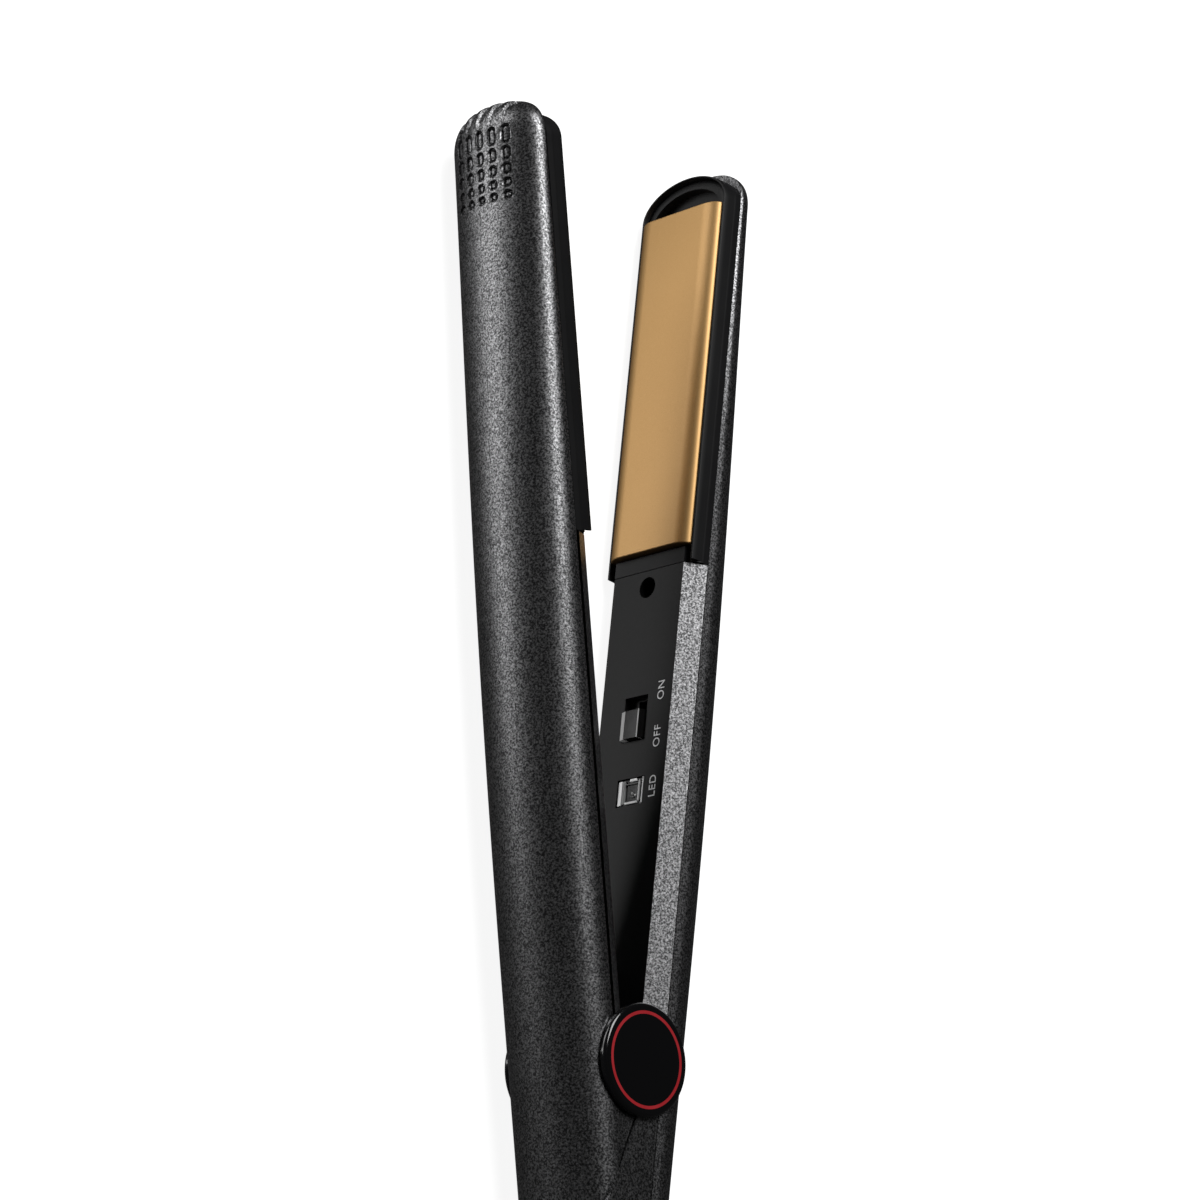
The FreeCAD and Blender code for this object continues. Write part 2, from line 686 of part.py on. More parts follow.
# ---------------------------------------------------------------- plate carriers and plates
def plate_carrier(label, place):
    """The black frame that holds a floating plate and closes the arm around it."""
    nose = d.nose_length - d.carrier_nose_inset
    rim, top = d.carrier_rim, SHELL_BASE - 0.1
    half = d.carrier_half_width
    body = join(block((d.carrier_x, rim, -half), (d.nose_x, top, half)),
                elliptic_disc(d.nose_x, nose, half, rim, top))
    body = rounded(body, d.carrier_rounding,
                   lambda edge: lies_at(edge, "Y", rim.number) and not runs_along(edge, "z"))
    inner_half = d.arm_half_width - d.shell_wall - 3 * d.slip
    floor_top = carrier_floor_height()
    plug = block((d.carrier_x, rim + 1, -inner_half + 0.5),
                 (d.nose_x - 1, floor_top + d.carrier_floor, inner_half - 0.5))
    lip = block((d.carrier_x, d.inner_face, -d.inner_half_width),
                (d.plate_x - d.plate_clearance, rim + 1, d.inner_half_width))
    pocket_half = d.plate_width / 2 + d.plate_clearance
    pocket = block((d.plate_x - d.plate_clearance, 0, -pocket_half),
                   (d.plate_x + d.plate_length + d.plate_clearance, floor_top, pocket_half))
    recess = elliptic_disc(d.nose_x - 2, nose - 1, half - 2.6, 0, rim + 2.4)
    window = block((d.plate_x + 6, 0, -d.heater_half_width - 1),
                   (d.plate_x + d.plate_length - 6, FAR, d.heater_half_width + 1))
    piece(label, carve(join(body, plug, lip), pocket, recess, window), place)


def carrier_floor_height():
    """Height of the pocket's floor: the plate's stack, its travel and a little air."""
    stack = d.plate_face + d.plate_thickness + d.heater_thickness + d.clamp_thickness
    return stack + d.plate_travel + d.plate_clearance


PLATE_END_ROUNDING = 0.3


def floating_plate(arm, place):
    """A heated plate with the heater, clamp and thermal fuse that float with it."""
    half = d.plate_width / 2
    plate_back = d.plate_face + d.plate_thickness
    start, end = d.plate_x, d.plate_x + d.plate_length
    bar = block((start, d.plate_face, -half), (end, plate_back, half))
    face = d.plate_face.number
    bar = rounded(bar, d.plate_rounding,
                  lambda edge: runs_along(edge, "x") and lies_at(edge, "Y", face))
    bar = rounded(bar, PLATE_END_ROUNDING,
                  lambda edge: not runs_along(edge, "x") and edge.BoundBox.YMin < face + 0.01)
    piece(f"{arm}_plate", bar, place)
    heater_half = d.heater_half_width
    heater_back = plate_back + d.heater_thickness
    heater = block((start + 9, plate_back, -heater_half), (end - 9, heater_back, heater_half))
    piece(f"{arm}_heater", heater, place)
    clamp_back = heater_back + d.clamp_thickness
    clamp = block((start + 3, heater_back, -half + 1.5), (end - 3, clamp_back, half - 1.5))
    feet = [block((x, plate_back, -half + 1.5), (x + 3, heater_back, half - 1.5))
            for x in (start + 3, end - 6)]
    piece(f"{arm}_heater_clamp", join(clamp, *feet), place)
    fuse = rod("x", 1.6, start + 34, start + 46, (clamp_back + 1.6, 0))
    piece(f"{arm}_thermal_fuse", fuse, place)
    pads = []
    for x in (start + 4.5, end - 4.5):
        for side in (-1, 1):
            at = (x, side * (half - 3.5))
            pads.append(rod("y", 1.4, clamp_back, carrier_floor_height(), at))
    piece(f"{arm}_float_pads", join(*pads), place)


# ---------------------------------------------------------------- hinge
def hinge():
    """Axle, bushes, washers, torsion spring and the two round covers with their rings."""
    side = d.arm_half_width
    hub_foot = d.ear_outer + d.knuckle_clearance
    axle_end = side + d.badge_gap
    piece("hinge_axle", rod("z", d.axle_radius, -axle_end, axle_end), LIFT)
    running_bore = d.axle_radius + d.axle_running
    bushes = []
    for low, high in ((-d.ear_outer, -d.ear_inner), (d.ear_inner, d.ear_outer)):
        bushes.append(carve(rod("z", d.bush_radius, low, high),
                            rod("z", running_bore, low - 1, high + 1)))
    piece("hinge_bushes", join(*bushes), LIFT)
    washers = []
    for end in (-d.knuckle_low - d.washer_thickness - 0.15, d.knuckle_low + 0.15):
        washers.append(carve(rod("z", d.knuckle_radius - 2, end, end + d.washer_thickness),
                             rod("z", running_bore, end - 1, end + 1)))
    piece("hinge_washers", join(*washers), LIFT)
    for name, turn in (("top", 0), ("bottom", 180)):
        place = LIFT * Placement(Vector(), Rotation(Vector(1, 0, 0), turn))
        foot, face = axle_end, axle_end + d.badge_thickness
        disc = rod("z", d.badge_radius, foot, face)
        disc = rounded(disc, d.badge_rounding, lambda edge: lies_at(edge, "Z", face.number))
        hub = rod("z", d.hub_radius, hub_foot, foot)
        inner, outer = d.ring_radius - d.ring_width / 2, d.ring_radius + d.ring_width / 2
        ring = carve(rod("z", outer, face - d.ring_depth, face),
                     rod("z", inner, face - d.ring_depth - 1, face + 1))
        groove = carve(rod("z", outer, face - d.ring_depth, face + 1),
                       rod("z", inner, face - d.ring_depth - 1, face + 2))
        seat = rod("z", d.axle_radius + 0.01, hub_foot - 1, axle_end)
        piece(f"hinge_cover_{name}", carve(join(disc, hub), seat, groove), place)
        piece(f"badge_ring_{name}", ring, place)


def hinge_spring():
    """The torsion spring that pushes the arms open, wound between knuckle and ear."""
    wire = d.spring_wire.number
    low = d.knuckle_high.number + wire + 0.15
    high = d.knuckle_low.number - wire - 0.15
    radius, turns = d.spring_radius.number, d.spring_turns.number
    helix = doc.addObject("Part::Helix", "spring_line")
    helix.Radius = radius
    helix.Pitch = (high - low) / turns
    helix.Height = high - low
    circle = doc.addObject("Part::Circle", "spring_wire")
    circle.Radius = wire
    circle.Placement = Placement(Vector(radius, 0, 0), Rotation(Vector(1, 0, 0), 90))
    coil = doc.addObject("Part::Sweep", "spring_coil")
    coil.Sections = [circle]
    coil.Spine = (helix, [])
    coil.Solid = True
    coil.Frenet = True
    coil.Placement = Placement(Vector(0, 0, low), Rotation())
    piece("hinge_spring", coil, LIFT * coil.Placement)


# ---------------------------------------------------------------- inside the lower arm
def switch_and_lamp():
    """The sliding knob with its housing, and the lamp with its lens."""
    clearance = d.knob_clearance
    start = d.switch_x - d.switch_length / 2 + clearance
    half = d.switch_width / 2 - clearance
    back = d.inner_face + d.cover_wall + clearance
    top = d.inner_face - d.knob_proud
    knob = block((start, top, -half), (start + d.knob_length, back, half))
    rib_a = start + d.knob_length / 2
    grip = block((rib_a - 0.5, top - 0.5, -half + 0.8), (rib_a + 0.5, top + 0.3, half - 0.8))
    stem = block((rib_a - 1.2, back - 0.5, -1.2), (rib_a + 1.2, back + 2.2, 1.2))
    piece("switch_knob", join(knob, grip, stem), LOWER)
    house_low = back + clearance
    half_length = d.switch_length / 2 + 1
    house = block((d.switch_x - half_length, house_low, -half - 0.8),
                  (d.switch_x + half_length, d.board_height, half + 0.8))
    slot = block((d.switch_x - half_length + 1.5, house_low - 1, -1.5),
                 (d.switch_x + half_length - 1.5, back + 2.5, 1.5))
    piece("switch_housing", carve(house, slot), LOWER)
    fit = 0.05
    half_length, half_width = d.lamp_length / 2 - fit, d.lamp_width / 2 - fit
    middle = -d.lamp_offset
    cover_back = d.inner_face + d.cover_wall
    lens = block((d.lamp_x - half_length, d.inner_face - 0.3, middle - half_width),
                 (d.lamp_x + half_length, cover_back, middle + half_width))
    length, width = half_length + 1, half_width + 0.8
    flange = block((d.lamp_x - length, cover_back, middle - width),
                   (d.lamp_x + length, cover_back + 0.8, middle + width))
    piece("led_lens", join(lens, flange), LOWER)
    lamp_base = d.inner_face + d.cover_wall + 1.3
    bulb = rod("y", 1.5, lamp_base, d.board_height - 1, (d.lamp_x, middle))
    foot = rod("y", 1.9, d.board_height - 1, d.board_height, (d.lamp_x, middle))
    piece("led", join(bulb, foot), LOWER)


def circuit_board():
    """The control board with the pieces soldered to it."""
    start, end = d.board_x, d.board_x + d.board_length
    low, high = d.board_height, d.board_height + d.board_thickness
    half = d.board_half_width
    piece("circuit_board", block((start, low, -half), (end, high, half)), LOWER)
    piece("triac", block((start + 52, high, -5), (start + 62, high + 1.6, 5)), LOWER)
    piece("film_capacitor", block((start + 3, low - 6, -6), (start + 15, low, 3)), LOWER)
    piece("control_chip", block((start + 34, high, -3.5), (start + 42, high + 1.2, 3.5)), LOWER)
    piece("buzzer", rod("y", 3.5, low - 3.4, low, (start + 20, 0)), LOWER)
    piece("terminal_block", block((start + 1, high, -6), (start + 8, high + 2.2, 6)), LOWER)


# ---------------------------------------------------------------- cord swivel
SLIP_RING_PLACES = (3.2, 6.0)     # from the inside of the tail's end wall


def cord_swivel():
    """The turning gland at the tail's end, its slip rings, brushes and collar."""
    wall = d.shell_wall
    inside = d.tail_end + wall
    outer = d.tail_end - d.swivel_reach
    neck = rod("x", d.swivel_neck, d.tail_end - 0.5, inside + 0.4)
    head = cone("x", d.swivel_neck - 0.6, d.swivel_neck + 1.2, outer, d.tail_end - 0.4)
    inner_end = d.tail_end + d.swivel_inside
    flange = rod("x", d.swivel_flange, inside + 0.3, inside + 2.3)
    drum = rod("x", d.cord_radius + 1, inside, inner_end)
    bore = rod("x", d.cord_radius, outer - 1, inner_end + 1)
    piece("cord_swivel", carve(join(neck, head, flange, drum), bore), LOWER)
    drum_radius = d.cord_radius + 1
    rings = []
    for place in SLIP_RING_PLACES:
        low = inside + place
        ring = rod("x", drum_radius + 0.6, low, low + 1.4)
        rings.append(carve(ring, rod("x", drum_radius, low - 1, low + 3)))
    piece("slip_rings", join(*rings), LOWER)
    brush_base = d.part_line - 0.2
    brushes = [block((inside + place, drum_radius + 0.8, -1.5),
                     (inside + place + 1.4, brush_base + 2, 1.5))
               for place in SLIP_RING_PLACES]
    carrier = block((inside + 2.6, brush_base, -5), (inside + 9, SHELL_BASE + 1.6, 5))
    piece("swivel_brushes", join(carrier, *brushes), LOWER)


def case_screws():
    """One self-tapping screw in each arm, deep in its well."""
    seat = d.part_line + d.tongue_reach - d.cover_wall
    at = (d.screw_x, 0)
    for arm, place in (("lower", LOWER), ("upper", UPPER)):
        head = rod("y", d.screw_head, seat - 1.6, seat, at)
        shank = rod("y", d.screw_shank, seat, seat + 6, at)
        cross = join(block((d.screw_x - 1.3, seat - 2, -0.3), (d.screw_x + 1.3, seat - 0.9, 0.3)),
                     block((d.screw_x - 0.3, seat - 2, -1.3), (d.screw_x + 0.3, seat - 0.9, 1.3)))
        piece(f"{arm}_case_screw", carve(join(head, shank), cross), place)


# ---------------------------------------------------------------- build
outer_shell("lower_outer_shell", LOWER, TAIL_STATIONS)
outer_shell("upper_outer_shell", UPPER, UPPER_REAR, Placement())
lower_inner_cover()
upper_inner_cover()
tail_cover()
for arm_name, arm_place in (("lower", LOWER), ("upper", UPPER)):
    plate_carrier(f"{arm_name}_plate_carrier", arm_place)
    floating_plate(arm_name, arm_place)
hinge()
hinge_spring()
switch_and_lamp()
circuit_board()
cord_swivel()
case_screws()

# ---------------------------------------------------------------- check and export
doc.recompute()
for thing in doc.Objects:
    if "Invalid" in thing.State or "Error" in thing.State:
        raise RuntimeError(f"{thing.Label} failed: {thing.State}")
os.makedirs("parts", exist_ok=True)
for thing in pieces:
    shape = thing.Shape
    if shape.isNull() or not shape.isValid() or not shape.Solids:
        raise RuntimeError(f"{thing.Label} has no valid solid")
    shape.exportStep(f"parts/{thing.Label}.step")
    print(f"{thing.Label}: {len(shape.Solids)} solid(s), {shape.Volume:.1f} mm3")
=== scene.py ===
# %% [markdown]
# # A two-arm hair straightener, lying on its side, half open
#
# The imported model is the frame: it holds every piece of the real object at its real size.
# This file puts the finish on it. Surfaces that are seen closely, such as the moulded
# shells with their dimples, are worked out again as fine meshes that stand for the plain
# ones, and every other piece keeps its form and gets a better material.

# %% The frame
import json
import math

import bmesh
import bpy
import numpy as np
from mathutils import Matrix, Vector


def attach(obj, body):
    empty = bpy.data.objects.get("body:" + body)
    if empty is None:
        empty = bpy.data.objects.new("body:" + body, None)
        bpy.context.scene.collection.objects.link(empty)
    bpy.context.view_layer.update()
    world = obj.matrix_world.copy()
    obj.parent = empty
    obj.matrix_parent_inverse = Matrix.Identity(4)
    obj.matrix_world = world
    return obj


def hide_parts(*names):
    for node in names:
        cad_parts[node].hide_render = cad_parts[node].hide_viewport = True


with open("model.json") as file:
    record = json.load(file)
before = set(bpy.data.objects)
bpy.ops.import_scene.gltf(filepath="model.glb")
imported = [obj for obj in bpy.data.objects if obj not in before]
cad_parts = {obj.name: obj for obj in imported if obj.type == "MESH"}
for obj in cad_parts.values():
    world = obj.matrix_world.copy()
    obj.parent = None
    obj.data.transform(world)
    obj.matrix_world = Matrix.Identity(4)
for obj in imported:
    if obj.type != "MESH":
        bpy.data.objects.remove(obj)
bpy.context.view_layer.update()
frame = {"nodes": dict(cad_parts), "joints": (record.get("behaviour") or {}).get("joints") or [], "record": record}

MM = 0.001

# %% [markdown]
# ## Where the arms are
#
# Both arms have the same form. In an arm's own measure, `along` runs from the hinge to the
# tip, `out` runs away from the plane in which the closed arms meet, and `across` runs over
# the arm's width. The upper arm is turned by half the opening one way, the lower arm as
# far the other way. The hinge joint closes the arms, so its range is the whole opening.

# %% Arm frames
hinge = next(joint for joint in frame["joints"] if joint["name"] == "arm_hinge")
HALF_OPENING = math.radians(abs(hinge["range_deg"][0]) / 2)
MIDDLE = hinge["pos_m"][2]
SIDES = {"upper": 1, "lower": -1}


def place_on_arm(arm, along, out, across):
    """Turn arm measures in millimetres into places: along and out turn by half the opening
    about the hinge, out is turned over for the lower arm, across is the height from the
    hinge's middle."""
    side = SIDES[arm]
    cosine, sine = math.cos(HALF_OPENING), math.sin(HALF_OPENING)
    along, out, across = np.broadcast_arrays(along, out, across)
    return np.stack([(along * cosine - out * sine) * MM,
                     (along * sine + out * cosine) * MM * side,
                     across * MM + MIDDLE], axis=-1)


print(f"each arm is opened by {math.degrees(HALF_OPENING):.1f} degrees")

# %% [markdown]
# ## Camera, floor and light
#
# The camera looks down at the arms from the side of the switch with a long lens, with the
# tips at the top of the view. Most of the object is black, so it is drawn by what it
# mirrors: a softbox overhead makes the narrow bright band near the edge of the upper shell
# and lights the bevelled strips, and a low one, under the floor, makes the broad band along
# the shell's back. The floor is left out of the mirror images, as black cards do in a
# studio, which keeps black black.

# %% Camera
CAMERA_PLACE = Vector((-0.12594, 0.59664, 0.63838))
CAMERA_AIM = Vector((0.10464, -0.00019, MIDDLE))
CAMERA_UP = Vector((0.966, 0.186, 0.180))
LENS = 120


def aimed(place, aim, up):
    """The pose of a thing at place whose -Z looks at aim and whose Y leans towards up."""
    back = (place - aim).normalized()
    right = up.cross(back).normalized()
    pose = Matrix((right, back.cross(right), back)).transposed().to_4x4()
    pose.translation = place
    return pose


lens = bpy.data.cameras.new("camera")
lens.lens = LENS
camera = bpy.data.objects.new("camera", lens)
camera.matrix_world = aimed(CAMERA_PLACE, CAMERA_AIM, CAMERA_UP)
bpy.context.scene.collection.objects.link(camera)
bpy.context.scene.camera = camera
bpy.context.scene.view_settings.view_transform = "Standard"
print("camera at", tuple(round(value, 3) for value in CAMERA_PLACE))

# %% Softboxes


LAMP_UP = Vector((0, 1, 0.3))


def softbox(name, place, size, watts):
    """A white rectangular lamp that looks at the middle of the arms."""
    lamp = bpy.data.lights.new(name, "AREA")
    lamp.shape = "RECTANGLE"
    lamp.size, lamp.size_y = size
    lamp.energy = watts
    thing = bpy.data.objects.new(name, lamp)
    thing.matrix_world = aimed(Vector(place), CAMERA_AIM, LAMP_UP)
    thing.visible_camera = False
    bpy.context.scene.collection.objects.link(thing)


softbox("overhead_softbox", (0.65, 0.08, 0.80), (0.72, 0.46), 7.4)
softbox("low_softbox", (0.52, 0.64, -0.37), (0.84, 0.36), 2.9)

# %% [markdown]
# ## Shader maths
#
# A material is a small sum over the surface. `Value` wraps a shader socket so that such a
# sum can be written as an ordinary Python expression, and `Finish` is one material being
# written, with a single method that adds any node.

# %% Values and finishes


class Value:
    """A number that varies over a surface; sums of Values add Math nodes."""

    def __init__(self, finish, socket):
        self.finish = finish
        self.socket = socket

    def math(self, operation, *others):
        return self.finish.add("Math", {"operation": operation},
                               dict(enumerate((self,) + others)))

    def __add__(self, other):
        return self.math("ADD", other)

    def __sub__(self, other):
        return self.math("SUBTRACT", other)

    def __mul__(self, other):
        return self.math("MULTIPLY", other)

    def __rsub__(self, other):
        return self * -1 + other

    def __abs__(self):
        return self.math("ABSOLUTE")

    def __gt__(self, other):
        return self.math("GREATER_THAN", other)


class Finish:
    """A material in the making: a Principled surface and the nodes that feed it."""

    def __init__(self, name, **constants):
        self.material = bpy.data.materials.new(name)
        self.material.use_nodes = True
        self.nodes = self.material.node_tree.nodes
        self.links = self.material.node_tree.links
        self.surface = self.nodes["Principled BSDF"]
        self.place = self.add("TexCoord", {}, {}, "Object")
        self.set(**constants)

    def feed(self, socket, value):
        if isinstance(value, Value):
            self.links.new(value.socket, socket)
        elif isinstance(value, tuple) and len(value) == 3 and socket.type == "RGBA":
            socket.default_value = (*value, 1)
        else:
            socket.default_value = value

    def add(self, kind, settings, inputs, output=0):
        """Add one node: its kind, its settings, what its inputs take, and which output."""
        node = self.nodes.new("ShaderNode" + kind)
        for name, value in settings.items():
            setattr(node, name, value)
        for name, value in inputs.items():
            self.feed(node.inputs[name], value)
        return Value(self, node.outputs[output])

    def noise(self, grain, detail=2.0, roughness=0.5):
        """Noise whose lumps are about grain millimetres wide."""
        return self.add("TexNoise", {}, {"Vector": self.place, "Scale": 0.5 / (grain * MM),
                                         "Detail": detail, "Roughness": roughness})

    def ramp(self, value, start, end):
        """0 below start, 1 above end, and a straight rise between them."""
        return self.add("MapRange", {}, {"Value": value, "From Min": start, "From Max": end})

    def mix(self, factor, first, second):
        return self.add("Mix", {"data_type": "RGBA"}, {0: factor, 6: first, 7: second}, 2)

    def bump(self, height, depth, strength=1.0):
        """Let the surface's normal follow a height of so many millimetres."""
        normal = self.add("Bump", {}, {"Height": height, "Distance": depth * MM,
                                       "Strength": strength})
        self.feed(self.surface.inputs["Normal"], normal)

    def set(self, **values):
        """Fill sockets of the surface: base_color fills the one named Base Color."""
        sockets = {socket.name.lower(): socket for socket in self.surface.inputs}
        for name, value in values.items():
            self.feed(sockets[name.replace("_", " ")], value)


print("a finish is a Principled surface and the nodes that feed it")

# %% [markdown]
# ## Plastics and paints
#
# The shells are sprayed with a soft-touch paint: near black, with metal dust that sparkles
# where the light falls. The dust is fine noise that raises the colour of a metallic coat,
# and a second noise pebbles it a little. The bare plastics have a finer, duller grain.

# %% Paint and plastic
PAINT = (0.045, 0.045, 0.046)
FLECK = (0.50, 0.50, 0.51)
PAINT_METALLIC, PAINT_ROUGHNESS = 0.98, 0.37
DUST_GRAIN, DUST_START, DUST_END = 0.22, 0.42, 0.74
PEBBLE_GRAIN, PEBBLE_DEPTH, PEBBLE_STRENGTH = 0.26, 0.03, 0.5


def dusted(finish):
    """The colour of the coat: lumps of dust above a threshold are bright."""
    dust = finish.ramp(finish.noise(DUST_GRAIN, 3.0, 0.7), DUST_START, DUST_END)
    return finish.mix(dust, PAINT, FLECK)


def pebbled(finish, amount=1.0):
    """Fine pebbles on the coat, by an amount that may vary over the surface."""
    pebbles = finish.noise(PEBBLE_GRAIN, 3.0, 0.7)
    finish.bump(pebbles * amount, PEBBLE_DEPTH, PEBBLE_STRENGTH)


def soft_paint():
    """The shells' coat, whose gloss drifts a little from place to place."""
    finish = Finish("soft_touch_paint")
    cloud = finish.ramp(finish.noise(9.0), 0.3, 0.7)
    finish.set(base_color=dusted(finish), metallic=PAINT_METALLIC,
               roughness=cloud * 0.04 + PAINT_ROUGHNESS)
    pebbled(finish)
    return finish.material


def moulded(name, base, roughness, grain=0.12, depth=0.01, specular=0.5):
    """Bare plastic with the faint grain of its mould and slightly uneven gloss."""
    finish = Finish(name, base_color=base, specular_ior_level=specular)
    patches = finish.ramp(finish.noise(6.0), 0.35, 0.65)
    finish.set(roughness=patches * 0.06 + roughness)
    finish.bump(finish.noise(grain, 2.0), depth, 0.4)
    return finish.material


paint = soft_paint()
finishes = {
    "shell_paint": paint,
    "tail_plastic": paint,
    "carrier_plastic": moulded("carrier_black", (0.006, 0.006, 0.0065), 0.44, 0.10, 0.008,
                               0.25),
    "inner_black": moulded("housing_black", (0.012, 0.012, 0.012), 0.5),
    "swivel_rubber": moulded("swivel_rubber", (0.014, 0.014, 0.014), 0.6, 0.15, 0.02),
    "chip_black": moulded("chip_black", (0.02, 0.02, 0.021), 0.45),
    "led_body": moulded("lamp_body", (0.75, 0.78, 0.80), 0.12, 0.5, 0.0),
    "capacitor_yellow": moulded("capacitor_yellow", (0.72, 0.48, 0.05), 0.35),
    "terminal_green": moulded("terminal_green", (0.06, 0.30, 0.10), 0.4),
    "silicone": moulded("silicone_red", (0.30, 0.05, 0.03), 0.55),
    "heater_ceramic": moulded("heater_ceramic", (0.80, 0.78, 0.72), 0.6, 0.2, 0.02),
    "board": moulded("board_green", (0.015, 0.12, 0.04), 0.3, 0.4, 0.01),
}
print("plastics:", len(finishes))

# %% Two-tone inner covers
PAINT_EDGE = 11.12 * MM     # the paint stops where the flat inner face begins
PAINT_TOP = 6.59 * MM       # and in the groove where the cover meets its shell


def inner_cover():
    """Black grained plastic on the flat face, the shell's paint on the bevelled sides."""
    finish = Finish("inner_cover", specular_ior_level=0.2)
    x, y, z = (finish.add("SeparateXYZ", {}, {0: finish.place}, axis) for axis in range(3))
    height = abs(y) * math.cos(HALF_OPENING) - x * math.sin(HALF_OPENING)
    painted = (abs(z - MIDDLE) > PAINT_EDGE) * (PAINT_TOP - height > 0)
    plastic_grain = finish.ramp(finish.noise(0.3, 2.0), 0.3, 0.9)
    plain = finish.mix(plastic_grain, (0.003, 0.003, 0.0032), (0.005, 0.005, 0.0053))
    finish.set(base_color=finish.mix(painted, plain, dusted(finish)),
               metallic=painted * PAINT_METALLIC, roughness=painted * 0.02 + PAINT_ROUGHNESS)
    pebbled(finish, painted * 0.9 + 0.1)
    return finish.material


finishes["inner_plastic"] = inner_cover()
print("paint starts", PAINT_EDGE / MM, "mm from the middle of an inner cover")

# %% [markdown]
# ## Metals and gloss
#
# The heated plates are anodised: a satin, slightly champagne gold with an even tooth that
# is finer than the eye can part. The hinge cover is piano black under a clear coat. The
# knob and the lamp's lens are gloss plastic with painted highlights: each of their faces
# says how pale it is, paler where it would catch the light.

# %% Metals and gloss


def metal(name, colour, roughness):
    """Bare metal with a fine tooth and slightly uneven gloss."""
    finish = Finish(name, base_color=colour, metallic=1.0)
    finish.set(roughness=finish.ramp(finish.noise(2.5), 0.3, 0.7) * 0.08 + roughness)
    finish.bump(finish.noise(0.15, 2.0), 0.004, 0.5)
    return finish.material


def plate_gold():
    """Anodised gold: a warm tone that drifts a little, with a fine satin tooth."""
    finish = Finish("anodised_gold", metallic=1.0, coat_weight=0.25, coat_roughness=0.35)
    drift = finish.ramp(finish.noise(14.0), 0.3, 0.7)
    tooth = finish.noise(0.12, 3.0, 0.6)
    tone = finish.mix(drift, (0.58, 0.345, 0.130), (0.62, 0.375, 0.145))
    finish.set(base_color=finish.mix(finish.ramp(tooth, 0.3, 0.8), tone, (0.68, 0.43, 0.19)),
               roughness=tooth * 0.08 + 0.50)
    finish.bump(tooth, 0.006, 0.35)
    return finish.material


def piano_black():
    """Deep black under a clear, nearly flawless coat."""
    finish = Finish("piano_black", base_color=(0.0025, 0.0025, 0.003), coat_weight=0.6,
                    coat_roughness=0.03)
    haze = finish.ramp(finish.noise(5.0), 0.4, 0.7)
    finish.set(roughness=haze * 0.04 + 0.10)
    return finish.material


def ring_red():
    """Red enamel filled into the groove of the hinge cover."""
    finish = Finish("ring_red", coat_weight=0.3)
    drift = finish.ramp(finish.noise(1.5), 0.3, 0.7)
    finish.set(base_color=finish.mix(drift, (0.50, 0.022, 0.030), (0.58, 0.035, 0.045)),
               roughness=drift * 0.05 + 0.28)
    return finish.material


def gloss_with_painted_highlights(name, dark, pale, roughness):
    """Gloss plastic with painted highlights: each face's tone mixes two greys; a trace of haze."""
    finish = Finish(name)
    # each face's tone is its painted highlight
    tone = finish.add("Attribute", {"attribute_name": "tone"}, {}, "Fac")
    haze = finish.ramp(finish.noise(2.0), 0.3, 0.7)
    finish.set(base_color=finish.mix(tone, (dark,) * 3, (pale,) * 3),
               roughness=haze * 0.05 + roughness)
    return finish.material


finishes.update({
    "plate_anodised": plate_gold(),
    "badge_gloss": piano_black(),
    "ring_red": ring_red(),
    # the knob's pale facets and the lens's bright bars are painted highlights
    "knob_gloss": gloss_with_painted_highlights("knob_gloss", 0.003, 0.55, 0.10),
    "lens_clear": gloss_with_painted_highlights("lens_clear", 0.006, 0.95, 0.06),
    "clamp_aluminium": metal("clamp_aluminium", (0.72, 0.72, 0.74), 0.34),
    "fuse_metal": metal("fuse_tin", (0.62, 0.62, 0.60), 0.30),
    "steel": metal("axle_steel", (0.50, 0.50, 0.52), 0.24),
    "spring_steel": metal("spring_steel", (0.36, 0.36, 0.38), 0.30),
    "bush_brass": metal("bush_brass", (0.66, 0.46, 0.18), 0.32),
    "brush_holder": metal("brush_bronze", (0.58, 0.40, 0.18), 0.38),
    "screw_steel": metal("screw_black", (0.10, 0.10, 0.105), 0.36),
})
print("finishes:", len(finishes))

# %% Dress the frame's own pieces
SLOTS = {part["node"]: part["material_slot"] for part in frame["record"]["subparts"]}


def dress(thing, material):
    """Give a piece one material."""
    thing.data.materials.clear()
    thing.data.materials.append(material)


for name, thing in frame["nodes"].items():
    dress(thing, finishes[SLOTS[name]])
print("dressed", len(SLOTS), "pieces of the frame")

# %% [markdown]
# ## Meshes from grids
#
# A moulded part is a sheet of plastic, so it is drawn as one: a grid of points for its
# outside, the same grid moved inwards for its inside, and a narrow rim all round that joins
# the two. The whole grid is computed at once, row by column, and handed to the mesh.

# %% Grid meshes
SHARP = math.radians(32)
WELD = 1e-7


def quads(rows, columns):
    """The corners of the cells of a rows by columns grid, numbered row by row."""
    corner = np.arange(rows * columns).reshape(rows, columns)
    return np.stack([corner[:-1, :-1], corner[:-1, 1:], corner[1:, 1:], corner[1:, :-1]],
                    axis=-1).reshape(-1, 4)


def rim(rows, columns):
    """The cells that join the edge of one grid to the edge of a second one behind it."""
    corner = np.arange(rows * columns).reshape(rows, columns)
    loop = np.concatenate([corner[0, :-1], corner[:-1, -1],
                           corner[-1, :0:-1], corner[:0:-1, 0]])
    after = np.roll(loop, -1)
    behind = rows * columns
    return np.stack([loop, loop + behind, after + behind, after], axis=-1)


def tube(rows, columns):
    """The cells of a grid whose last column lies on its first, and one face at each end."""
    end = np.arange(columns - 1)
    return quads(rows, columns).tolist() + [end.tolist(), (end + (rows - 1) * columns).tolist()]


